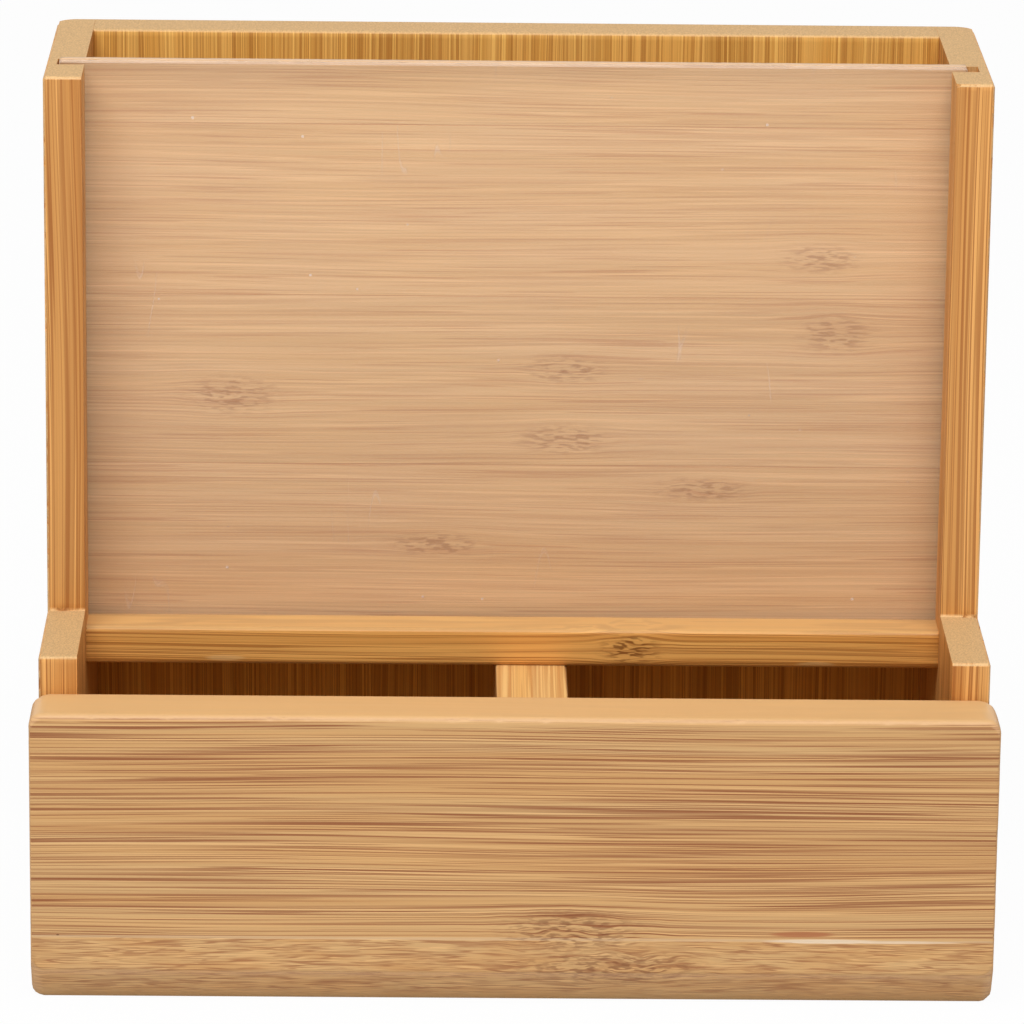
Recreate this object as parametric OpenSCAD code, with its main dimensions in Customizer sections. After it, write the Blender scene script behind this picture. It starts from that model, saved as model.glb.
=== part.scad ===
// Bamboo desk organizer: a picture frame with a lift-out clear sheet stands over two
// front cells, with a tall slot behind it. X is the width, Y the depth (front is -Y),
// and Z is up from the surface that it stands on. The origin is under its middle.

/* [Body] */
// Width across the two side panels
body_w = 160; // [130:1:220]
// Depth of the side panels, front edge to rear edge
body_d = 75; // [70:1:110]
// Height of the side panels at the rear
body_h = 150.5; // [130:0.5:200]
// Thickness of each side panel
side_t = 6.5; // [6.5:0.5:9]
// Thickness of the back panel
back_t = 9; // [5:0.5:10]
// Thickness of the base panel
base_t = 6.5; // [5:0.5:9]
// Radius of the two rear upright corners
rear_r = 3.5; // [1:0.5:5]

/* [Step] */
// Height of the low front part of the side panels
step_h = 57; // [56:0.5:70]
// Depth of the low front part of the side panels
step_d = 27; // [20:0.5:30]

/* [Front plank] */
// How far the front plank stands out past each side panel
front_over = 1; // [0:0.25:2]
// Height of the front plank
front_h = 50.8; // [40:0.1:54]
// Thickness of the front plank
front_t = 12.5; // [10:0.5:16]
// Height of the bevel along the plank's lower front edge
bevel_h = 6; // [3:0.5:8]
// Depth of that bevel
bevel_d = 3.5; // [2:0.5:5]
// Radius of the plank's outer corners in front view
front_r = 2; // [1:0.25:3]
// Radius of the plank's rear upright corners
front_rear_r = 3; // [1:0.25:4]

/* [Divider] */
// Thickness of the divider between the two front cells
divider_t = 12.2; // [6:0.1:16]
// How far the divider stands to the right of the middle
divider_x = 3.2; // [-10:0.1:10]

/* [Frame] */
// Depth of the side panels' edge that stands in front of the groove
lip_t = 10; // [8:0.1:12]
// Width of the groove that holds the sheet and its backing board
groove_w = 4.3; // [4.3:0.1:5]
// Depth of that groove in each side panel
groove_d = 4.7; // [3:0.1:4.7]
// Height of the rail's top
rail_z = 53.5; // [52:0.5:56]
// Height of the rail's front face
rail_h = 6.4; // [5:0.1:9]
// How far the rail stands back from the uprights' front
rail_back = 1.4; // [0:0.1:2]
// How much narrower the sheet and its backing board are than the space for them
sheet_gap = 2.4; // [1.8:0.1:4]
// Thickness of the clear sheet
sheet_t = 2; // [1.5:0.1:2]
// Thickness of the backing board
board_t = 1.9; // [1.5:0.1:1.9]
// How far both stand up above the side panels
sheet_proud = 0.4; // [0:0.1:3]
// How far both lie to the left in their grooves
sheet_shift = 0.85; // [-0.9:0.05:0.9]

/* [Dowels] */
// Radius of the hidden wooden dowels
dowel_r = 1.5; // [1.25:0.05:1.6]
// Length of a dowel
dowel_len = 12; // [12:0.5:14]

/* [Hidden] */

$fn = 48;
arris = 0.5;      // the sanding of every other edge
soft = 1.2;       // the sanding of the front plank's long edges
glue_gap = 0.03;  // round each dowel
play = 0.15;      // on each side of the clear sheet
side_hole = 4;    // how deep a dowel stands in a side panel or in the base
over = 1;         // how far a cutter runs past a face

total_d = body_d + front_t;
front_y = -total_d / 2;
side_y = front_y + front_t;
rear_y = total_d / 2;
front_w = body_w + 2 * front_over;
inner_x = body_w / 2 - side_t;
inner_y = rear_y - back_t;
upright_y = side_y + step_d;
groove_y = upright_y + lip_t;
rail_y = upright_y + rail_back;
rail_z0 = rail_z - rail_h;
sheet_w = 2 * (inner_x + groove_d) - sheet_gap;
sheet_top = body_h + sheet_proud;
sheet_y = groove_y + play;
board_y = sheet_y + sheet_t + play;
sheet_z0 = rail_z0 + 0.1;

front_dowel_z = [12, 38];
back_dowel_z = [20, 75, 130];
base_dowel_y = [-20, 20];

// Points of one rounded corner, a quarter turn from the angle start
function corner(x, y, r, start) = [for (i = [0:6])
    [x + r * cos(start + 15 * i), y + r * sin(start + 15 * i)]];

// A rectangle from (x0, y0) to (x1, y1), with a radius for each corner in the order
// lower right, upper right, upper left, lower left
function rounded(x0, y0, x1, y1, r) = concat(
    corner(x1 - r[0], y0 + r[0], r[0], 270),
    corner(x1 - r[1], y1 - r[1], r[1], 0),
    corner(x0 + r[2], y1 - r[2], r[2], 90),
    corner(x0 + r[3], y0 + r[3], r[3], 180));

// An outline drawn in Y and Z, run along X from x0 to x1
module run_x(x0, x1) {
    translate([x0, 0, 0]) rotate([90, 0, 90]) linear_extrude(x1 - x0) children();
}

// An outline drawn in X and Z, run along Y from y0 to y1
module run_y(y0, y1) {
    translate([0, y1, 0]) rotate([90, 0, 0]) linear_extrude(y1 - y0) children();
}

// An outline drawn in X and Y, run up from z0 to z1
module run_z(z0, z1) {
    translate([0, 0, z0]) linear_extrude(z1 - z0) children();
}

module box(x0, x1, y0, y1, z0, z1) {
    translate([x0, y0, z0]) cube([x1 - x0, y1 - y0, z1 - z0]);
}

// A board with its four long edges eased, lying along X
module eased_x(x0, x1, y0, y1, z0, z1) {
    run_x(x0, x1) polygon(rounded(y0, z0, y1, z1, [arris, arris, arris, arris]));
}

// Every dowel, or with gap set every hole that a dowel stands in
module dowels(gap = 0) {
    r = dowel_r + gap;
    for (s = [-1, 1]) {
        for (z = front_dowel_z)
            translate([s * (body_w / 2 - side_t / 2), side_y, z])
                rotate([90, 0, 0]) cylinder(h = dowel_len + 2 * gap, r = r, center = true);
        for (z = back_dowel_z)
            cross_dowel(s, rear_y - back_t / 2, z, r, gap);
        for (y = base_dowel_y)
            cross_dowel(s, y, base_t / 2, r, gap);
        cross_dowel(s, (rail_y + groove_y) / 2, rail_z - rail_h / 2, r, gap);
    }
    for (y = base_dowel_y)
        translate([divider_x, y, base_t - side_hole - gap])
            cylinder(h = dowel_len + 2 * gap, r = r);
}

// One dowel along X, from the side panel on side s into what stands between the sides
module cross_dowel(s, y, z, r, gap) {
    translate([s * (inner_x + side_hole - dowel_len / 2), y, z])
        rotate([0, 90, 0]) cylinder(h = dowel_len + 2 * gap, r = r, center = true);
}

// Outline of a side panel seen from the side, tall behind and low in front
module side_outline() {
    polygon(concat(
        corner(rear_y - arris, arris, arris, 270),
        corner(rear_y - arris, body_h - arris, arris, 0),
        corner(upright_y + arris, body_h - arris, arris, 90),
        [[upright_y, step_h]],
        corner(side_y + arris, step_h - arris, arris, 90),
        corner(side_y + arris, arris, arris, 180)));
}

// The right side panel; the left one is its mirror image
module side_panel() {
    difference() {
        intersection() {
            run_x(inner_x, body_w / 2) side_outline();
            run_z(-over, body_h + over)
                polygon(rounded(inner_x, side_y, body_w / 2, rear_y,
                    [arris, rear_r, arris, arris]));
        }
        box(inner_x - over, inner_x + groove_d, groove_y, groove_y + groove_w,
            rail_z0, body_h + over);
        dowels(glue_gap);
    }
}

module left_side_panel() {
    color("#d9a566") mirror([1, 0, 0]) side_panel();
}

module right_side_panel() {
    color("#d9a566") side_panel();
}

// Stands between the side panels, with its top level with theirs
module back_panel() {
    color("#d4a060") difference() {
        eased_x(-inner_x, inner_x, inner_y, rear_y, 0, body_h);
        dowels(glue_gap);
    }
}

// Lies between the side panels, the back panel and the front plank
module base_panel() {
    color("#cf9a5c") difference() {
        box(-inner_x, inner_x, side_y, inner_y, 0, base_t);
        dowels(glue_gap);
    }
}

// Outline of the front plank seen from the side, bevelled along its foot
module front_outline() {
    polygon(concat(
        corner(side_y - arris, arris, arris, 270),
        corner(side_y - soft, front_h - soft, soft, 0),
        corner(front_y + soft, front_h - soft, soft, 90),
        [[front_y, bevel_h], [front_y + bevel_d, 0]]));
}

// A thick plank glued over the front edges of the base and both side panels
module front_panel() {
    color("#cda06e") difference() {
        intersection() {
            run_x(-front_w / 2, front_w / 2) front_outline();
            run_y(front_y - over, side_y + over)
                polygon(rounded(-front_w / 2, 0, front_w / 2, front_h,
                    [front_r, front_r, front_r, front_r]));
            run_z(-over, front_h + over)
                polygon(rounded(-front_w / 2, front_y, front_w / 2, side_y,
                    [arris, front_rear_r, front_rear_r, arris]));
        }
        dowels(glue_gap);
    }
}

// Runs from the front plank to the back panel, as high as the rail's underside
module centre_divider() {
    color("#e3b67a") difference() {
        box(divider_x - divider_t / 2, divider_x + divider_t / 2, side_y, inner_y,
            base_t, rail_z0);
        dowels(glue_gap);
    }
}

// Closes the frame below, in front of the sheet's lower edge
module frame_rail() {
    color("#c98f4e") difference() {
        eased_x(-inner_x, inner_x, rail_y, groove_y, rail_z0, rail_z);
        dowels(glue_gap);
    }
}

// Thin bamboo board behind the clear sheet, loose in the same grooves
module backing_board() {
    color("#d8b48c")
        box(-sheet_w / 2 - sheet_shift, sheet_w / 2 - sheet_shift,
            board_y, board_y + board_t, sheet_z0, sheet_top);
}

// Clear sheet that lifts out of the grooves to change the picture behind it
module clear_sheet() {
    color("#e9ddd2", 0.4)
        box(-sheet_w / 2 - sheet_shift, sheet_w / 2 - sheet_shift,
            sheet_y, sheet_y + sheet_t, sheet_z0, sheet_top);
}

module dowel_pins() {
    color("#b98a55") dowels();
}

left_side_panel();
right_side_panel();
back_panel();
base_panel();
front_panel();
centre_divider();
frame_rail();
backing_board();
clear_sheet();
dowel_pins();
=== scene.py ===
import math

import bpy
import numpy as np
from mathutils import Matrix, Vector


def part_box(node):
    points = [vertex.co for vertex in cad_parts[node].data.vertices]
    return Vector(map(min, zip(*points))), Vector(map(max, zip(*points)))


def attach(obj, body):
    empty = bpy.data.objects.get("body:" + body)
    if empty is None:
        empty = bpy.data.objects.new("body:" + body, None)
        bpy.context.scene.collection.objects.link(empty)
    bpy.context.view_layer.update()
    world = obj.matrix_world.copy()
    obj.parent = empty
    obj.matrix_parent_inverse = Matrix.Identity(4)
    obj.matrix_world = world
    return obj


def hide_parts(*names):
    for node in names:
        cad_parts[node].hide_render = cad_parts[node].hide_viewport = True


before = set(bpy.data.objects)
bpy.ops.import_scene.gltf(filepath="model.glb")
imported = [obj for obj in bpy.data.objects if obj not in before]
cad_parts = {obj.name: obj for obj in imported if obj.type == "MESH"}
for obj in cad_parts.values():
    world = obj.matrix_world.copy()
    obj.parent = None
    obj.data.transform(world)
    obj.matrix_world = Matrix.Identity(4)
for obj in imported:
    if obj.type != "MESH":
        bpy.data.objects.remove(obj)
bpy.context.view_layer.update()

# Camera: a long lens a metre in front of the organizer and a little above it, turned a hair
# to one side, as the photograph was taken.
camera_data = bpy.data.cameras.new("camera")
camera_data.sensor_width = 36
camera_data.lens = 226.8
camera_data.clip_end = 10
camera = bpy.data.objects.new("camera", camera_data)
camera.location = (-0.0158, -1.0649, 0.3813)
camera.rotation_euler = [math.radians(a) for a in (73.899, -0.639, -0.647)]
bpy.context.collection.objects.link(camera)
bpy.context.scene.camera = camera


# Base panel: a solid bamboo board, planed and hand sanded, glued between the side panels, the
# back panel and the front plank. Its grain runs across the organizer.
ARC_POINTS = 5  # on each sanded edge
POINT_GAP = 0.8e-3  # between the points along a straight side
RING_GAP = 0.6e-3  # between the sanded edge and the next ring
FLAT_RINGS = np.array([1.6, 0.9, 0.35]) * 1e-3  # how far in the rings that close an end lie
LEAST_RADIUS = 0.05e-3
GLUED_END = 0.06e-3  # how far an end is eased where it is glued to the next board
KNOCK_REACH = 0.6e-3  # how far in a knock would go at its fullest
SANDING_WAVE, SANDING_SHARE = 14e-3, 0.135  # wavelength, and share of that reach
CHIP_WAVE, CHIP_SHARE, CHIP_LEVEL = 2.2e-3, 0.72, 0.6
DEEPEST = 0.85


def plane_waves(points, wavelength, seed, waves=9):
    """A smooth random height between about -1 and 1 at each point: the mean of sine waves with
    random directions and phases, all of about the one wavelength."""
    draw = np.random.default_rng(seed)
    total = np.zeros(len(points))
    for _ in range(waves):
        way = draw.normal(size=3)
        way *= 2 * np.pi / wavelength * draw.uniform(0.7, 1.4) / np.linalg.norm(way)
        total += np.sin(points @ way + draw.uniform(0, 2 * np.pi))
    return total / np.sqrt(waves)


def rounded_ring(corners, radii, runs):
    """Points round a right-angled outline, for every ring of a board at once: at each corner a
    quarter arc about the point one radius inside both sides, then the straight run to the next
    corner split evenly. corners is rings x corners x 2."""
    def towards(shift):
        way = np.roll(corners, shift, axis=1) - corners
        return way / np.linalg.norm(way, axis=2, keepdims=True)

    before, after = towards(1), towards(-1)
    radius = radii[..., None]
    centre = corners + radius * (before + after)
    turn = np.linspace(0, np.pi / 2, ARC_POINTS)
    parts, at_corner = [], []
    for i, run in enumerate(runs):
        arc = [centre[:, i] - radius[:, i] * (after[:, i] * math.cos(t) + before[:, i] * math.sin(t))
               for t in turn]
        j = (i + 1) % len(runs)
        start, end = arc[-1], centre[:, j] - radius[:, j] * after[:, j]
        share = np.linspace(0, 1, run + 2)[1:-1, None, None]
        parts.append(np.concatenate([np.stack(arc), start + share * (end - start)]))
        at_corner.append(np.r_[np.sin(2 * turn), np.zeros(run)])
    return np.concatenate(parts).transpose(1, 0, 2), np.concatenate(at_corner)


def stations(low, high, ease_low, ease_high):
    """Where a board's rings lie between its two ends, and how far each ring is drawn in there:
    the sanded edge at each end is a quarter circle, and three flat rings close the end."""
    turn = np.linspace(0, np.pi / 2, ARC_POINTS)
    middle = [low + ease_low + RING_GAP, (low + high) / 2, high - ease_high - RING_GAP]
    place = np.r_[np.full(3, low), low + ease_low * (1 - np.sin(turn[::-1])), middle,
                  high - ease_high * (1 - np.sin(turn)), np.full(3, high)]
    inset = np.r_[ease_low + FLAT_RINGS, ease_low * (1 - np.cos(turn[::-1])), 0, 0, 0,
                  ease_high * (1 - np.cos(turn)), ease_high + FLAT_RINGS[::-1]]
    # The middle of each arc is the edge mask, for the sanding and for the painted edge highlight.
    middle_of_arc = np.sin(2 * turn)
    sanded = np.r_[np.zeros(3), middle_of_arc, np.zeros(3), middle_of_arc, np.zeros(3)]
    return place, inset, sanded


def add_mesh(name, points, faces, grain):
    """A mesh with its faces turned outwards and two masks on its points: end is how far the
    surface faces along the grain, and level how far it faces up or down."""
    mesh = bpy.data.meshes.new(name)
    mesh.from_pydata(points.tolist(), [], faces)
    mesh.update()
    corner = np.array([f[:3] for f in faces])
    a, b, c = points[corner[:, 0]], points[corner[:, 1]], points[corner[:, 2]]
    if np.einsum("ij,ij->", a, np.cross(b, c)) < 0:
        mesh.flip_normals()
    mesh.shade_smooth()
    piece = bpy.data.objects.new(name, mesh)
    bpy.context.collection.objects.link(piece)
    mark(mesh, "end", np.abs(vertex_normals(mesh) @ np.array(grain, float)))
    mark(mesh, "level", np.abs(vertex_normals(mesh)[:, 2]))
    return piece


def vertex_normals(mesh):
    """The direction that the surface faces at each point, as points x 3."""
    flat = np.empty(len(mesh.vertices) * 3, np.float32)
    mesh.vertex_normals.foreach_get("vector", flat)
    return flat.reshape(-1, 3)


def mark(mesh, name, values):
    """Keeps one number for each point of a mesh, for its material to read."""
    attribute = mesh.attributes.get(name) or mesh.attributes.new(name, "FLOAT", "POINT")
    attribute.data.foreach_set("value", np.asarray(values, np.float32))


def board(name, along, grain, corners, insets, rings, radius, wear, seed):
    """A board whose outline is carried along one axis, ring by ring. At each ring every side of
    the outline moves in by its own inset and stays straight. At the edges every point is pushed
    towards the wood's inside by a smooth random amount, as by uneven sanding, and by short peaks,
    as by chips. The mask edge is 1 in the middle of each sanded edge."""
    place, sanded = rings
    nominal = np.array(corners, float)
    sides = np.roll(nominal, -1, axis=0) - nominal
    runs = np.maximum(2, (np.linalg.norm(sides, axis=1) / POINT_GAP).astype(int))

    def rings_drawn_in(extra, nearer):
        drawn = insets(place, extra)
        radii = np.maximum(radius - drawn.min(axis=1) - extra, LEAST_RADIUS)[:, None]
        moved = nominal + corner_shift(nominal, drawn)
        outline, at_corner = rounded_ring(moved, np.repeat(radii, len(nominal), axis=1), runs)
        middle = (place.min() + place.max()) / 2
        shifted = place + np.sign(middle - place) * nearer
        swept = np.repeat(shifted[:, None, None], outline.shape[1], axis=1)
        order = {"x": (2, 0, 1), "y": (0, 2, 1), "z": (0, 1, 2)}[along]
        return np.concatenate([outline, swept], axis=2)[..., order], at_corner

    points, at_corner = rings_drawn_in(0, 0)
    inner, _ = rings_drawn_in(KNOCK_REACH, KNOCK_REACH)
    on_end = (place <= place.min()) | (place >= place.max())
    # The edge mask sets both the push of the sanding and where the painted edge highlight lies.
    edge = np.maximum(sanded[:, None], at_corner[None, :] * ~on_end[:, None]).ravel()
    count, across = points.shape[:2]
    flat = points.reshape(-1, 3)
    uneven = np.clip(0.5 + 0.5 * plane_waves(flat, SANDING_WAVE, seed), 0, 1)
    chips = np.clip(plane_waves(flat, CHIP_WAVE, seed + 1) - CHIP_LEVEL, 0, 1)
    push = edge * np.clip(wear * (SANDING_SHARE * uneven + CHIP_SHARE * chips), 0, DEEPEST)
    flat = flat + push[:, None] * (inner.reshape(-1, 3) - flat)

    index = np.arange(count * across).reshape(count, across)
    beside = np.roll(index, -1, axis=1)
    quads = np.stack([index[:-1], beside[:-1], beside[1:], index[1:]], axis=-1).reshape(-1, 4)
    faces = quads.tolist() + [index[0, ::-1].tolist(), index[-1].tolist()]
    piece = add_mesh(name, flat, faces, grain)
    mark(piece.data, "edge", edge)
    return piece


def corner_shift(nominal, drawn):
    """How far each corner moves when side i of the outline, from corner i to the next, is drawn in
    by drawn[:, i]: each corner goes by the insets of the two sides that meet in it."""
    sides = np.roll(nominal, -1, axis=0) - nominal
    inward = np.stack([-sides[:, 1], sides[:, 0]], axis=1)
    inward /= np.linalg.norm(inward, axis=1, keepdims=True)
    by_side = drawn[:, :, None] * inward
    return by_side + np.roll(by_side, 1, axis=1)


def rectangle(low, high):
    """The four corners of an outline, anticlockwise from the lowest."""
    return [(low[0], low[1]), (high[0], low[1]), (high[0], high[1]), (low[0], high[1])]


def plain_board(name, node, along, grain, seed, ease=0.5e-3, end_ease=GLUED_END, wear=1.0):
    """A rectangular board that fills its node's box, with one sanding for the edges that run
    along it and another for its ends. A glued end keeps its edges sharp and unmarked."""
    low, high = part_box(node)
    axis = "xyz".index(along)
    u, v = [i for i in range(3) if i != axis]
    place, inset, sanded = stations(low[axis], high[axis], end_ease, end_ease)
    sanded = sanded * (end_ease > GLUED_END)
    return board(name, along, grain, rectangle((low[u], low[v]), (high[u], high[v])),
                 lambda _, extra: np.repeat(inset[:, None] + extra, 4, axis=1),
                 (place, sanded), ease, wear, seed)


def linear(red, green, blue):
    """A colour given as it looks on a screen, 0 to 255, in the linear light that shaders use."""
    share = np.array([red, green, blue]) / 255
    light = np.where(share <= 0.04045, share / 12.92, ((share + 0.055) / 1.055) ** 2.4)
    return (*light, 1.0)


class Tree:
    """A short way to write a node tree: each call adds a node, links or sets its inputs, and
    gives back the socket that the next node reads."""

    def __init__(self, tree):
        self.tree = tree

    def add(self, kind, inputs=None, output=0, **settings):
        node = self.tree.nodes.new("ShaderNode" + kind)
        for name, value in settings.items():
            setattr(node, name, value)
        for key, value in (inputs or {}).items():
            self.feed(node.inputs[key], value)
        return node.outputs[output]

    def feed(self, socket, value):
        if isinstance(value, bpy.types.NodeSocket):
            self.tree.links.new(value, socket)
        else:
            socket.default_value = value

    def math(self, operation, *values):
        return self.add("Math", dict(enumerate(values)), operation=operation)

    def vector(self, operation, *values):
        return self.add("VectorMath", dict(enumerate(values)), operation=operation)

    def squared_length(self, vector):
        return self.add("VectorMath", {0: vector, 1: vector}, output=1, operation="DOT_PRODUCT")

    def along(self, vector, axis):
        return self.add("SeparateXYZ", {0: vector}).node.outputs[axis]

    def attribute(self, name):
        return self.add("Attribute", output=2, attribute_name=name)

    def noise(self, where, detail=2.0, rough=0.5):
        return self.add("TexNoise", {"Vector": where, "Scale": 1.0, "Detail": detail,
                                     "Roughness": rough})

    def step(self, value, low, high, to_low=0.0, to_high=1.0):
        return self.add("MapRange", {"Value": value, "From Min": low, "From Max": high,
                                     "To Min": to_low, "To Max": to_high},
                        interpolation_type="SMOOTHSTEP")

    def swing(self, value, amount):
        """A value between 0 and 1 as one about zero, amount from its lowest to its highest."""
        return self.math("MULTIPLY", self.math("SUBTRACT", value, 0.5), amount)

    def band(self, value, middle, near, far, height=1.0):
        """The height where the value is near the middle, falling to 0 where it is far from it."""
        away = self.math("ABSOLUTE", self.math("SUBTRACT", value, middle))
        return self.step(away, near, far, height, 0.0)

    def mix(self, share, first, second, blend="MIX"):
        return self.add("Mix", {0: share, 6: first, 7: second}, output=2, data_type="RGBA",
                        blend_type=blend)


def node_group(name, inputs, outputs):
    """An empty shader node group with named sockets, and its input and output nodes."""
    group = bpy.data.node_groups.new(name, "ShaderNodeTree")
    kinds = {"vector": "NodeSocketVector", "value": "NodeSocketFloat"}
    for label, kind in inputs.items():
        group.interface.new_socket(label, in_out="INPUT", socket_type=kinds[kind])
    for label, kind in outputs.items():
        group.interface.new_socket(label, in_out="OUTPUT", socket_type=kinds[kind])
    return group, group.nodes.new("NodeGroupInput").outputs, group.nodes.new("NodeGroupOutput").inputs


def make_fibre_group():
    """Bamboo fibre, from noise stretched along the grain. Its highest parts are short dark dashes
    with tapered ends, and Share is how much of the wood they cover. Where two longer noises cross
    one value lie long thin dark lines, as strong as Long says, with a pale line beside them.
    Slower noise gives the tone of whole bands, and finer noise the smallest streaks."""
    group, given, result = node_group(
        "bamboo_fibre", {"Vector": "vector", "Length": "value", "Spacing": "value",
                         "Depth": "value", "Share": "value", "Long": "value"},
        {"Dark": "value", "Pale": "value", "Tone": "value", "Fine": "value"})
    t = Tree(group)
    slow = t.noise(t.vector("MULTIPLY", given["Vector"], (11.0, 50.0, 50.0)), 0.0)
    wander = t.add("CombineXYZ", {1: t.swing(slow, 2.4e-3)})
    place = t.vector("ADD", given["Vector"], wander)
    size = t.add("CombineXYZ", {0: given["Length"], 1: given["Spacing"], 2: given["Depth"]})
    unit = t.vector("DIVIDE", place, size)
    groups = t.noise(t.vector("MULTIPLY", unit, (0.6, 0.14, 0.2)), 0.0)
    level = t.math("SUBTRACT", t.math("SUBTRACT", 0.78, given["Share"]), t.swing(groups, 0.2))
    over = t.math("SUBTRACT", t.noise(unit, 1.0, 0.45), level)
    dashes = t.step(over, 0.0, 0.06, 0.0, 0.8)
    stretched = t.vector("MULTIPLY", unit, (0.45, 0.40, 0.5))
    first = t.noise(stretched, 1.0, 0.35)
    second = t.noise(t.vector("ADD", stretched, (7.3, 3.1, 1.7)), 1.0, 0.35)
    thin = t.math("MAXIMUM", t.band(first, 0.5, 0.01, 0.07), t.band(second, 0.45, 0.005, 0.05, 0.8))
    fade = t.step(t.noise(t.vector("MULTIPLY", unit, (0.9, 0.3, 0.3)), 0.0), 0.34, 0.6, 0.25, 1.0)
    lines = t.math("MULTIPLY", t.math("MULTIPLY", thin, fade), given["Long"])
    dark = t.math("MAXIMUM", dashes, lines)
    t.feed(result["Dark"], dark)
    beside = t.band(first, 0.6, 0.0, 0.06)
    t.feed(result["Pale"], t.math("MAXIMUM", t.math("SUBTRACT", beside, dark), 0.0))
    bands = t.noise(t.vector("MULTIPLY", unit, (0.35, 0.08, 0.2)), 1.0)
    t.feed(result["Tone"], t.step(bands, 0.3, 0.7))
    t.feed(result["Fine"], t.noise(t.vector("MULTIPLY", unit, (1.3, 1.5, 1.6)), 1.5, 0.6))
    return group


def make_knot_group():
    """A node of the bamboo culm: round its centre the fibres bend aside, and the middle is darker.
    The bend falls off as a bell curve of the distance, and Swirl is noise that roughens it."""
    group, given, result = node_group(
        "bamboo_knot", {"Vector": "vector", "Centre": "vector", "Reach": "vector", "Bend": "value",
                        "Swirl": "value"}, {"Vector": "vector", "Mask": "value"})
    t = Tree(group)
    away = t.vector("SUBTRACT", given["Vector"], given["Centre"])
    unit = t.vector("DIVIDE", away, given["Reach"])
    flat = t.vector("MULTIPLY", unit, (1.0, 1.0, 0.0))
    bell = t.math("EXPONENT", t.math("MULTIPLY", t.squared_length(flat), -1.0))
    across = t.math("MULTIPLY", t.along(unit, 1), 0.9)
    side = t.math("ADD", across, t.math("MULTIPLY", given["Swirl"], 0.6))
    shift = t.math("MULTIPLY", t.math("MULTIPLY", bell, side), given["Bend"])
    t.feed(result["Vector"], t.vector("SUBTRACT", given["Vector"], t.add("CombineXYZ", {1: shift})))
    t.feed(result["Mask"], t.step(bell, 0.25, 0.95))
    return group


def make_strip_group():
    """Laminated strips: across its grain the board is made of strips of one width. Each has a
    random tint and a random shift of its pattern, and a thin line marks each glue joint."""
    group, given, result = node_group(
        "laminated_strips", {"Vector": "vector", "Width": "value", "Start": "value"},
        {"Tint": "value", "Joint": "value", "Shift": "vector"})
    t = Tree(group)
    across = t.math("SUBTRACT", t.along(given["Vector"], 1), given["Start"])
    count = t.math("DIVIDE", across, given["Width"])
    number = t.math("FLOOR", count)
    random = t.add("TexWhiteNoise", {"W": number}, noise_dimensions="1D")
    t.feed(result["Tint"], random)
    within = t.math("FRACT", count)
    nearest = t.math("MINIMUM", within, t.math("SUBTRACT", 1.0, within))
    distance = t.math("MULTIPLY", nearest, given["Width"])
    t.feed(result["Joint"], t.step(distance, 0.05e-3, 0.18e-3, 1.0, 0.0))
    t.feed(result["Shift"], random.node.outputs["Color"])
    return group


def make_edge_highlight_group():
    """Hand-sanded edges with a painted highlight: the edge mask broken up by noise, so that an edge
    is pale in some places and keeps the colour of the face in others. The pale is partly the sanding
    and partly a painted highlight, where light would catch the rounded edge."""
    group, given, result = node_group("sanded_edge_and_highlight", {"Broken": "value", "Amount": "value"},
                                      {"Mask": "value", "Dents": "value"})
    t = Tree(group)
    edge = t.attribute("edge")
    lit_edge = t.math("MULTIPLY", edge, given["Amount"])
    t.feed(result["Mask"], t.math("MULTIPLY", lit_edge, t.step(given["Broken"], 0.3, 0.65, 0.65, 1.0)))
    t.feed(result["Dents"], t.math("MULTIPLY", edge, given["Broken"]))
    return group


fibre_group = make_fibre_group()
knot_group = make_knot_group()
strip_group = make_strip_group()
edge_highlight_group = make_edge_highlight_group()
GRAIN_ORDER = {"x": (0, 2, 1), "y": (1, 0, 2), "z": (2, 0, 1)}


def bend_round_knots(t, here, knots):
    """The place with the grain bent aside round each knot, and the mask of the knots' dark
    dashes, which follow the grain halfway round."""
    swirl = t.swing(t.noise(t.vector("MULTIPLY", here, (130.0, 420.0, 60.0)), 1.0), 2.0)
    place, mask = here, 0.0
    for along, across, reach_along, reach_across, bend in knots:
        knot = t.add("Group", {"Vector": place, "Centre": (along, across, 0), "Bend": bend,
                               "Reach": (reach_along, reach_across, 1), "Swirl": swirl},
                     node_tree=knot_group).node.outputs
        place = knot["Vector"]
        mask = t.math("MAXIMUM", mask, knot["Mask"])
    half_bent = t.vector("MULTIPLY", t.vector("ADD", here, place), (250.0, 1350.0, 150.0))
    dashes = t.step(t.noise(half_bent, 1.5), 0.47, 0.6, 0.12, 1.0)
    return place, t.math("MULTIPLY", mask, dashes)


def paint_patches(t, colour, here, fine, side, patches):
    """Small spots in their own colours. Each is an ellipse whose edge the fine streaks break up."""
    for along, across, reach_along, reach_across, tone, amount in patches:
        away = t.vector("DIVIDE", t.vector("SUBTRACT", here, (along, across, 0)),
                        (reach_along, reach_across, 1))
        ragged = t.vector("ADD", away, t.add("CombineXYZ", {1: t.swing(fine, 1.2)}))
        flat = t.vector("MULTIPLY", ragged, (1.0, 1.0, 0.0))
        spot = t.step(t.squared_length(flat), 0.3, 1.0, amount, 0.0)
        colour = t.mix(t.math("MULTIPLY", spot, side), colour, linear(*tone))
    return colour


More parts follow.
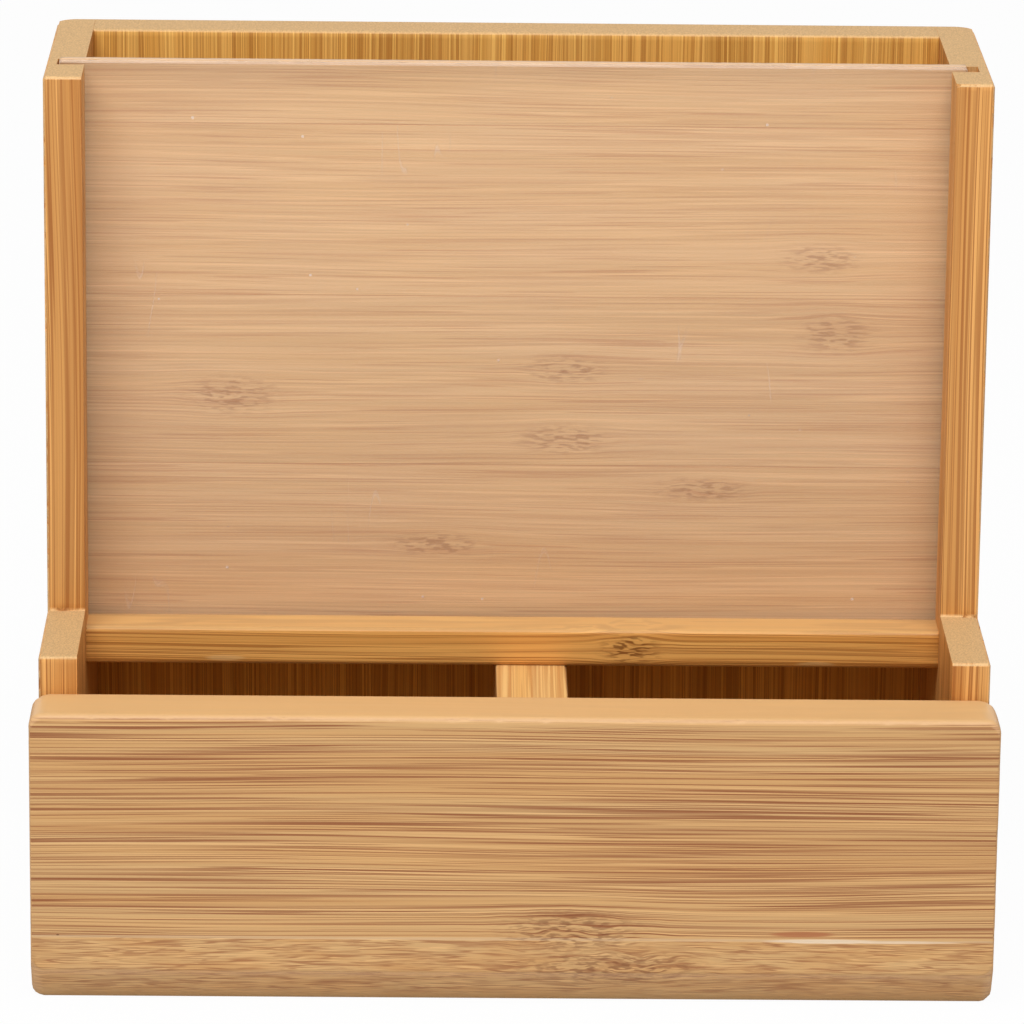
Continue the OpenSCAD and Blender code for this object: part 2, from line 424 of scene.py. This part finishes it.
def bamboo(name, grain, pale, warm, line, length=0.06, spacing=1.1e-3, depth=4e-3, share=0.18,
           line_strength=0.75, long_lines=1.0, pale_strength=0.35, strip=0.02, strip_start=0.0,
           tint=0.12, joint_colour=None, end_colour=None, edge_highlight_colour=None, edge_highlight_amount=0.5,
           level_lines=1.0, painted_level_light=None, short_below=None, knots=(), knot_strength=0.6,
           patches=(), shift=(0, 0, 0)):
    """Lacquered bamboo. Positions are in metres with the grain first: along it, across it, and
    into the board. pale and warm are the wood's two tones, and line is the fibres' dark one.
    level_lines is how much of the lines shows on the faces that look up or down. The colour given for
    those faces is painted over them as painted light and shade, for how the lamp falls on tops
    against fronts. Under short_below, a place across the grain, the fibres show as short dashes.
    knots lists centre along and across, reach along and across, bend. patches lists centre along
    and across, reach along and across, colour, amount."""
    material = bpy.data.materials.new(name)
    material.use_nodes = True
    t = Tree(material.node_tree)
    shader = material.node_tree.nodes["Principled BSDF"]
    xyz = t.add("SeparateXYZ", {0: t.add("TexCoord", output="Object")}).node.outputs
    here = t.add("CombineXYZ", {i: xyz[axis] for i, axis in enumerate(GRAIN_ORDER[grain])})
    place, knot_mask = bend_round_knots(t, here, knots) if knots else (here, None)
    strips = t.add("Group", {"Vector": here, "Width": strip, "Start": strip_start},
                   node_tree=strip_group).node.outputs
    if short_below is not None:
        below = t.math("LESS_THAN", t.along(here, 1), short_below)
        length = t.math("DIVIDE", length, t.math("ADD", 1.0, t.math("MULTIPLY", below, 9.0)))
        fainter = t.math("SUBTRACT", 1.0, t.math("MULTIPLY", below, 0.3))
        line_strength = t.math("MULTIPLY", line_strength, fainter)
    own = t.vector("ADD", place, t.vector("ADD", strips["Shift"], shift))
    fibre = t.add("Group", {"Vector": own, "Length": length, "Spacing": spacing, "Depth": depth,
                            "Share": share, "Long": long_lines}, node_tree=fibre_group).node.outputs
    speckle = t.noise(t.vector("MULTIPLY", here, (1400.0, 3600.0, 3600.0)), 1.0, 0.6)
    wear = t.add("Group", {"Broken": speckle, "Amount": edge_highlight_amount},
                 node_tree=edge_highlight_group).node.outputs
    end = t.step(t.attribute("end"), 0.55, 0.85)
    level = t.step(t.attribute("level"), 0.5, 0.95)
    side = t.math("MULTIPLY", t.math("SUBTRACT", 1.0, end),
                  t.math("SUBTRACT", 1.0, t.math("MULTIPLY", level, 1.0 - level_lines)))

    colour = t.mix(fibre["Tone"], linear(*pale), linear(*warm))
    shade = t.math("ADD", 1.0, t.swing(strips["Tint"], tint * 2))
    shade = t.math("ADD", shade, t.swing(fibre["Fine"], 0.35))
    colour = t.mix(1.0, colour, t.add("CombineColor", {0: shade, 1: shade, 2: shade}), "MULTIPLY")
    # A paler tone: the colour of the pale fibre lines, and also the painted edge highlight where no
    # edge colour is given.
    pale_line_and_highlight = tuple(min(255, c * 1.12 + 8) for c in pale)
    pale_mask = t.math("MULTIPLY", t.math("MULTIPLY", fibre["Pale"], side), pale_strength)
    colour = t.mix(pale_mask, colour, linear(*pale_line_and_highlight))
    dark_mask = t.math("MULTIPLY", t.math("MULTIPLY", fibre["Dark"], side), line_strength)
    colour = t.mix(dark_mask, colour, linear(*line))
    joint_mask = t.math("MULTIPLY", strips["Joint"], 0.35)
    colour = t.mix(joint_mask, colour, linear(*(joint_colour or line)))
    colour = paint_patches(t, colour, here, fibre["Fine"], side, patches)
    if knots:
        knot_colour = linear(*(0.82 * c for c in line))
        colour = t.mix(t.math("MULTIPLY", knot_mask, knot_strength), colour, knot_colour)
    # Painted light and shade: the faces that look up or down are tinted to a colour of their own.
    if painted_level_light:
        colour = t.mix(t.math("MULTIPLY", level, 0.7), colour, linear(*painted_level_light))
    cut = end_colour or pale
    speckled = t.mix(t.step(speckle, 0.35, 0.65), linear(*(0.92 * c for c in cut)),
                     linear(*(min(255, 1.05 * c) for c in cut)))
    colour = t.mix(end, colour, speckled)
    # Edges: pale partly from the sanding and partly as a painted highlight along each rounded edge.
    colour = t.mix(wear["Mask"], colour, linear(*(edge_highlight_colour or pale_line_and_highlight)))
    t.feed(shader.inputs["Base Color"], colour)

    rough = t.math("ADD", 0.40, t.math("MULTIPLY", fibre["Fine"], 0.16))
    rough = t.math("ADD", rough, t.math("MULTIPLY", end, 0.2))
    t.feed(shader.inputs["Roughness"], rough)
    streaks = t.noise(t.vector("MULTIPLY", here, (45.0, 2400.0, 2400.0)), 1.0)
    pits = t.math("MULTIPLY", t.math("MULTIPLY", speckle, end), 0.5)
    height = t.math("ADD", t.math("MULTIPLY", streaks, 0.7), pits)
    height = t.math("ADD", height, t.math("MULTIPLY", wear["Dents"], 1.6))
    height = t.math("SUBTRACT", height, t.math("MULTIPLY", strips["Joint"], 0.5))
    bump = t.add("Bump", {"Height": height, "Strength": 0.6, "Distance": 6e-5})
    t.feed(shader.inputs["Normal"], bump)
    shader.inputs["Specular IOR Level"].default_value = 0.35
    return material


def finish_piece(piece, material, body, node):
    """Gives a piece its material, and says what it rides on and the node it replaces."""
    piece.data.materials.append(material)
    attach(piece, body)
    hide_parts(node)


base = plain_board("base_board", "base_panel", "x", (1, 0, 0), seed=11)
finish_piece(base, bamboo("base_bamboo", "x", (206, 174, 96), (192, 154, 72), (156, 94, 46),
                          strip=0.0165, shift=(1.3, 0.2, 0)),
             "box", "base_panel")


# Side panels: one board each, tall behind and low in front, with upright grain. The rear outer
# corner is rounded, and a groove from the top takes the clear sheet and its backing board.
STEP_Y, STEP_Z = -0.00425, 0.057  # the upright's front, and the top of the low part
REAR_RADIUS = 3.5e-3
EASE = 0.5e-3
GROOVE_LOW = (0.0715, 0.00575, 0.0471)  # two corners of what is cut out of the right panel
GROOVE_HIGH = (0.0782, 0.01005, 0.16)
END_GRAIN = (200, 162, 112)


def side_board(name, node, sign, seed):
    """The stepped outline of the panel, seen from its side, carried across its thickness. Each
    ring is drawn in by the sanded edges, and at the rear corner by a larger quarter circle too.
    The left panel is the right one with X turned round."""
    low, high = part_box(node)
    inner, outer = (low.x, high.x) if sign > 0 else (-high.x, -low.x)
    corners = [(low.y, 0), (high.y, 0), (high.y, high.z), (STEP_Y, high.z), (STEP_Y, STEP_Z),
               (low.y, STEP_Z)]
    place, inset, sanded = stations(inner, outer, LEAST_RADIUS, EASE)
    sanded = sanded * (place > (inner + outer) / 2)
    rear_turn = np.linspace(0, np.pi / 2, 12)[1:-3]
    more = outer - REAR_RADIUS * (1 - np.sin(rear_turn))
    place = np.r_[place, more]
    inset = np.r_[inset, np.zeros(len(more))]
    sanded = np.r_[sanded, np.zeros(len(more))]
    rank = np.lexsort((np.where(place > (inner + outer) / 2, inset, -inset), place))
    place, inset, sanded = place[rank], inset[rank], sanded[rank]

    def insets(where, extra):
        drawn = np.repeat(inset[:, None] + extra, len(corners), axis=1)
        reach = np.clip((where - (outer - REAR_RADIUS)) / REAR_RADIUS, 0, 1)
        rear = REAR_RADIUS * (1 - np.sqrt(1 - reach ** 2))
        beyond = np.clip(inset - EASE, 0, None)
        drawn[:, 1] = np.maximum(drawn[:, 1], rear + extra + beyond)
        return drawn

    piece = board(name, "x", (0, 0, 1), corners, insets, (place, sanded), EASE, 2.2, seed)
    mesh = piece.data
    if sign < 0:
        flat = np.empty(len(mesh.vertices) * 3, np.float32)
        mesh.vertices.foreach_get("co", flat)
        flat[0::3] *= -1
        mesh.vertices.foreach_set("co", flat)
        mesh.flip_normals()
    cut_groove(piece, sign)
    return piece


def cut_groove(piece, sign):
    """Takes a long square groove out of the board, with a cutter that runs out past the inner
    face and the top, and marks the sharp edges again."""
    low, high = GROOVE_LOW, GROOVE_HIGH
    grid = np.array([(x, y, z) for x in (low[0], high[0]) for y in (low[1], high[1])
                     for z in (low[2], high[2])])
    grid[:, 0] *= sign
    faces = [(0, 1, 3, 2), (4, 6, 7, 5), (0, 4, 5, 1), (2, 3, 7, 6), (0, 2, 6, 4), (1, 5, 7, 3)]
    cutter = add_mesh("groove_cutter", grid, faces, (0, 0, 1))
    cut = piece.modifiers.new("groove", "BOOLEAN")
    cut.object = cutter
    cut.operation = "DIFFERENCE"
    cut.solver = "EXACT"
    bpy.context.view_layer.update()
    evaluated = piece.evaluated_get(bpy.context.evaluated_depsgraph_get())
    mesh = bpy.data.meshes.new_from_object(evaluated)
    piece.modifiers.clear()
    piece.data = mesh
    bpy.data.objects.remove(cutter)
    mesh.set_sharp_from_angle(angle=math.radians(40))
    mark(mesh, "end", np.abs(vertex_normals(mesh)[:, 2]))
    mark(mesh, "level", np.abs(vertex_normals(mesh)[:, 2]))


side_bamboo = bamboo("side_bamboo", "z", (220, 162, 92), (200, 136, 68), (156, 90, 32),
                     length=0.12, spacing=0.42e-3, depth=0.6e-3, share=0.2, line_strength=0.8,
                     pale_strength=0.5, strip=0.024, tint=0.06, end_colour=END_GRAIN,
                     edge_highlight_colour=(230, 190, 134), edge_highlight_amount=0.8)
for side, sign, seed in (("left", -1, 21), ("right", 1, 31)):
    panel = side_board(side + "_side_board", side + "_side_panel", sign, seed)
    finish_piece(panel, side_bamboo, "box", side + "_side_panel")


# Back panel: laminated from upright strips, glued and dowelled between the side panels, with its
# top level with theirs.
back = plain_board("back_board", "back_panel", "x", (0, 0, 1), seed=41)
finish_piece(back, bamboo("back_bamboo", "z", (230, 176, 92), (214, 157, 74), (156, 94, 28),
                          length=0.3, spacing=0.3e-3, depth=2e-3, share=0.17, line_strength=0.6,
                          pale_strength=0.6, strip=0.0082, tint=0.07, end_colour=END_GRAIN,
                          edge_highlight_colour=(224, 184, 130), shift=(0, 3.1, 0)),
             "box", "back_panel")


# Front plank: a thick board glued over the front edges of the base and the side panels. Its top
# edges are well rounded, its foot is bevelled, and its grain runs from side to side. Two strips
# meet in a pale joint near its foot.
STRIP_JOINT = 0.0117


def front_board():
    """The plank's front view, a rectangle with rounded corners, carried from its front face to
    its rear one. Each ring is drawn in by a quarter circle at the long edges and at the rear
    upright corners, and below by the straight bevel."""
    low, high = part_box("front_panel")
    soft, corner, rear_corner = 1.2e-3, 2e-3, 3e-3
    bevel_height, bevel_depth = 6e-3, 3.5e-3
    turn = np.linspace(0, np.pi / 2, 9)
    front = low.y + soft * (1 - np.cos(turn))
    rear = high.y - rear_corner * (1 - np.sin(turn))
    more = [low.y + 2e-3, low.y + bevel_depth, low.y + bevel_depth + RING_GAP,
            (low.y + high.y) / 2, high.y - 0.35e-3, high.y - 0.2e-3]
    side_place = np.unique(np.r_[front, more, rear])
    place = np.r_[np.full(3, low.y), side_place, np.full(3, high.y)]
    flat = np.r_[FLAT_RINGS, np.zeros(len(side_place)), FLAT_RINGS[::-1]]
    angle = np.arccos(1 - np.clip((place - low.y) / soft, 0, 1))
    rear_edge = np.clip((high.y - place) / 0.7e-3, 0, 1)
    # The edge mask, for the sanding and the painted highlight, is narrowed to the middle of the front
    # arc and kept to the rear arris.
    sanded = np.maximum(np.sin(2 * angle) ** 4, np.sin(np.pi * rear_edge)) * (flat == 0)

    def quarter(distance, radius):
        """How far a quarter circle of that radius stands in at a distance from the face."""
        share = np.clip(1 - distance / radius, 0, 1)
        return radius * (1 - np.sqrt(1 - share ** 2))

    def insets(where, extra):
        ahead, behind = where - low.y, high.y - where
        sides = np.maximum(quarter(ahead, EASE), quarter(behind, rear_corner))
        top = np.maximum(quarter(ahead, soft), quarter(behind, soft))
        bevel = bevel_height * np.clip(1 - ahead / bevel_depth, 0, 1)
        bottom = np.maximum(bevel, quarter(behind, EASE))
        return np.stack([bottom, sides, top, sides], axis=1) + flat[:, None] + extra

    return board("front_plank", "y", (1, 0, 0), rectangle((low.x, low.z), (high.x, high.z)), insets,
                 (place, sanded), corner, 0.5, 51)


plank = front_board()
finish_piece(plank, bamboo("front_bamboo", "x", (210, 168, 114), (204, 156, 100), (140, 78, 42),
                           spacing=0.22e-3, depth=3e-3, share=0.19, line_strength=0.9,
                           strip=0.0415, strip_start=STRIP_JOINT, tint=0.03,
                           joint_colour=(226, 188, 142), end_colour=(196, 148, 96),
                           edge_highlight_colour=(226, 182, 138), edge_highlight_amount=0.4, level_lines=0.15,
                           painted_level_light=(214, 172, 118), short_below=STRIP_JOINT,
                           knots=[(0.0099, 0.0132, 0.014, 0.0045, 1.6e-3),
                                  (0.016, 0.007, 0.02, 0.004, 1.8e-3)],
                           patches=[(0.0, 0.0119, 0.12, 0.0003, (224, 192, 150), 0.5),
                                    (0.0486, 0.0130, 0.0062, 0.0006, (172, 106, 66), 0.85),
                                    (0.0520, 0.0118, 0.0110, 0.0005, (234, 212, 184), 0.85),
                                    (0.0640, 0.0117, 0.0130, 0.0003, (232, 208, 178), 0.75),
                                    (-0.0764, 0.0121, 0.0003, 0.00015, (96, 54, 28), 0.8)],
                           shift=(0.4, 0, 0)),
             "box", "front_panel")


# Divider: stands between the two front cells, glued to the base, the plank and the back panel.
# Its top shows strips that run from front to back.
divider = plain_board("divider_board", "centre_divider", "y", (0, 1, 0), ease=0.3e-3, seed=61)
finish_piece(divider, bamboo("divider_bamboo", "y", (226, 184, 120), (214, 166, 98), (178, 114, 56),
                             length=0.1, spacing=0.36e-3, depth=6e-3, share=0.2, line_strength=0.6,
                             strip=0.0061, strip_start=-0.0029, tint=0.05, end_colour=END_GRAIN,
                             edge_highlight_colour=(232, 188, 130)),
             "box", "centre_divider")


# Frame rail: closes the picture frame below, glued and dowelled between the uprights. A node of
# the culm crosses it a little right of the middle.
rail = plain_board("rail_board", "frame_rail", "x", (1, 0, 0), wear=1.6, seed=71)
finish_piece(rail, bamboo("rail_bamboo", "x", (228, 168, 90), (216, 150, 72), (146, 80, 22),
                          spacing=0.25e-3, depth=2e-3, share=0.2, line_strength=0.72,
                          strip_start=0.044, tint=0.04, end_colour=END_GRAIN,
                          edge_highlight_colour=(220, 168, 104), edge_highlight_amount=0.25,
                          painted_level_light=(206, 168, 114), knot_strength=0.85,
                          knots=[(0.0203, 0.0501, 0.006, 0.0035, 2.0e-3)],
                          patches=[(-0.0496, 0.0482, 0.004, 0.0006, (228, 184, 122), 0.5),
                                   (0.0523, 0.0477, 0.004, 0.0006, (228, 184, 122), 0.5)],
                          shift=(2.2, 0, 0)),
             "box", "frame_rail")


# Backing board: a thin bamboo board, loose in the grooves behind the clear sheet. It shows through
# the sheet, with several nodes of the culm in it.
backing = plain_board("backing_sheet_board", "backing_board", "y", (1, 0, 0), ease=0.15e-3,
                      end_ease=0.15e-3, seed=81)
finish_piece(backing, bamboo("backing_bamboo", "x", (222, 182, 136), (214, 172, 124), (174, 106, 62),
                             length=0.035, spacing=0.28e-3, depth=3e-3, share=0.17,
                             line_strength=0.46, long_lines=0.4, pale_strength=0.25, strip=0.03,
                             strip_start=0.05, tint=0.03, edge_highlight_colour=(204, 168, 134),
                             level_lines=0.2, painted_level_light=(210, 176, 142), knot_strength=0.5,
                             knots=[(-0.049, 0.0922, 0.010, 0.004, 1.2e-3),
                                    (0.0086, 0.0972, 0.009, 0.003, 1.2e-3),
                                    (0.0088, 0.0847, 0.010, 0.003, 1.2e-3),
                                    (0.0323, 0.0759, 0.010, 0.0025, 1.2e-3),
                                    (-0.0135, 0.0656, 0.010, 0.0025, 1.2e-3),
                                    (0.055, 0.1038, 0.008, 0.004, 1.4e-3),
                                    (0.052, 0.117, 0.008, 0.003, 1.0e-3)],
                             shift=(5.1, 0, 0)),
             "board", "backing_board")


# Clear sheet: 2 mm cast acrylic, saw-cut at its edges, with a milky haze, a few fine scratches
# and specks of dust. It stands loose in the front of the grooves and lifts out at the top.
def acrylic():
    """A sheet whose alpha is its haze: clouds, dust where a slow noise is high, thin scratches
    where a drawn-out noise crosses its middle, and frosted edges."""
    material = bpy.data.materials.new("clear_acrylic")
    material.use_nodes = True
    t = Tree(material.node_tree)
    shader = material.node_tree.nodes["Principled BSDF"]
    place = t.add("TexCoord", output="Object")
    cloud = t.step(t.noise(t.vector("MULTIPLY", place, (28.0, 28.0, 28.0)), 3.0), 0.3, 0.7)
    cells = t.vector("MULTIPLY", place, (170.0, 170.0, 170.0))
    dust = t.step(t.add("TexVoronoi", {"Vector": cells, "Scale": 1.0}), 0.035, 0.06, 1.0, 0.0)
    dusty = t.step(t.noise(t.vector("MULTIPLY", place, (60.0, 60.0, 60.0))), 0.52, 0.6)
    drift = t.noise(t.vector("MULTIPLY", place, (260.0, 1.0, 34.0)), 0.0)
    rare = t.step(t.noise(t.vector("MULTIPLY", place, (55.0, 1.0, 55.0)), 0.0), 0.64, 0.7)
    scratch = t.math("MULTIPLY", t.band(drift, 0.5, 0.002, 0.009), rare)
    marks = t.math("MAXIMUM", t.math("MULTIPLY", dust, dusty), t.math("MULTIPLY", scratch, 0.4))
    haze = t.math("ADD", 0.05, t.math("MULTIPLY", cloud, 0.03))
    haze = t.math("ADD", haze, t.math("MULTIPLY", marks, 0.3))
    frosted = t.math("MAXIMUM", t.math("MULTIPLY", t.attribute("edge"), 0.5),
                     t.step(t.attribute("level"), 0.5, 0.95, 0.0, 0.35))
    t.feed(shader.inputs["Alpha"], t.math("MAXIMUM", haze, frosted))
    t.feed(shader.inputs["Base Color"], t.mix(marks, linear(226, 200, 180), linear(250, 244, 238)))
    t.feed(shader.inputs["Roughness"], t.math("ADD", 0.18, t.math("MULTIPLY", cloud, 0.12)))
    return material


clear = plain_board("acrylic_sheet", "clear_sheet", "y", (0, 0, 1), ease=0.2e-3, end_ease=0.15e-3,
                    wear=0.3, seed=91)
finish_piece(clear, acrylic(), "sheet", "clear_sheet")


# Dowel pins: turned wooden pins, glued into round holes to hold the boards together. They are
# hidden in the joints, and keep the shape of their solids.
dowel_wood = bamboo("dowel_wood", "x", (214, 176, 124), (196, 152, 98), (160, 110, 66))
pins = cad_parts["dowel_pins"]
pins.data.materials.clear()
pins.data.materials.append(dowel_wood)


# Floor and light: a wide pale floor that looks nearly white to the camera and keeps a faint shadow,
# a large soft lamp above and in front, and an even pale sky.
def flat_sheet(name, half, height):
    """A level square about the origin, twice half on each side."""
    points = np.array([(-half, -half, height), (half, -half, height), (half, half, height),
                       (-half, half, height)])
    mesh = bpy.data.meshes.new(name)
    mesh.from_pydata(points.tolist(), [], [(0, 1, 2, 3)])
    piece = bpy.data.objects.new(name, mesh)
    bpy.context.collection.objects.link(piece)
    return piece


floor = flat_sheet("floor", 4.0, -0.0001)
paper = bpy.data.materials.new("floor_paper")
paper.use_nodes = True
t = Tree(paper.node_tree)
shader = paper.node_tree.nodes["Principled BSDF"]
shader.inputs["Base Color"].default_value = linear(222, 222, 222)
shader.inputs["Roughness"].default_value = 0.9
white = t.add("Emission", {"Color": (1, 1, 1, 1), "Strength": 1.0})
camera_ray = t.add("LightPath")
whiteness = t.math("MULTIPLY", camera_ray, 0.965)
seen = t.add("MixShader", {0: whiteness, 1: shader.outputs[0], 2: white})
t.feed(paper.node_tree.nodes["Material Output"].inputs[0], seen)
floor.data.materials.append(paper)

world = bpy.data.worlds.new("sky")
bpy.context.scene.world = world
world.use_nodes = True
t = Tree(world.node_tree)
path = t.add("LightPath").node.outputs
direct = t.math("MAXIMUM", path["Is Camera Ray"],
                t.math("MAXIMUM", path["Is Glossy Ray"], path["Is Transmission Ray"]))
even = t.add("Background", {"Color": (1.0, 0.99, 0.97, 1), "Strength": 0.33})
bright = t.add("Background", {"Color": (1, 1, 1, 1), "Strength": 1.0})
sky = t.add("MixShader", {0: direct, 1: even, 2: bright})
t.feed(world.node_tree.nodes["World Output"].inputs[0], sky)

lamp_data = bpy.data.lights.new("soft_lamp", "AREA")
lamp_data.shape = "RECTANGLE"
lamp_data.size = 1.2
lamp_data.size_y = 0.8
lamp_data.energy = 17
lamp = bpy.data.objects.new("soft_lamp", lamp_data)
lamp.location = (-0.12, -0.66, 1.12)
lamp.rotation_euler = (math.radians(31), 0, math.radians(-8))
bpy.context.collection.objects.link(lamp)

bpy.context.scene.view_settings.view_transform = "Standard"
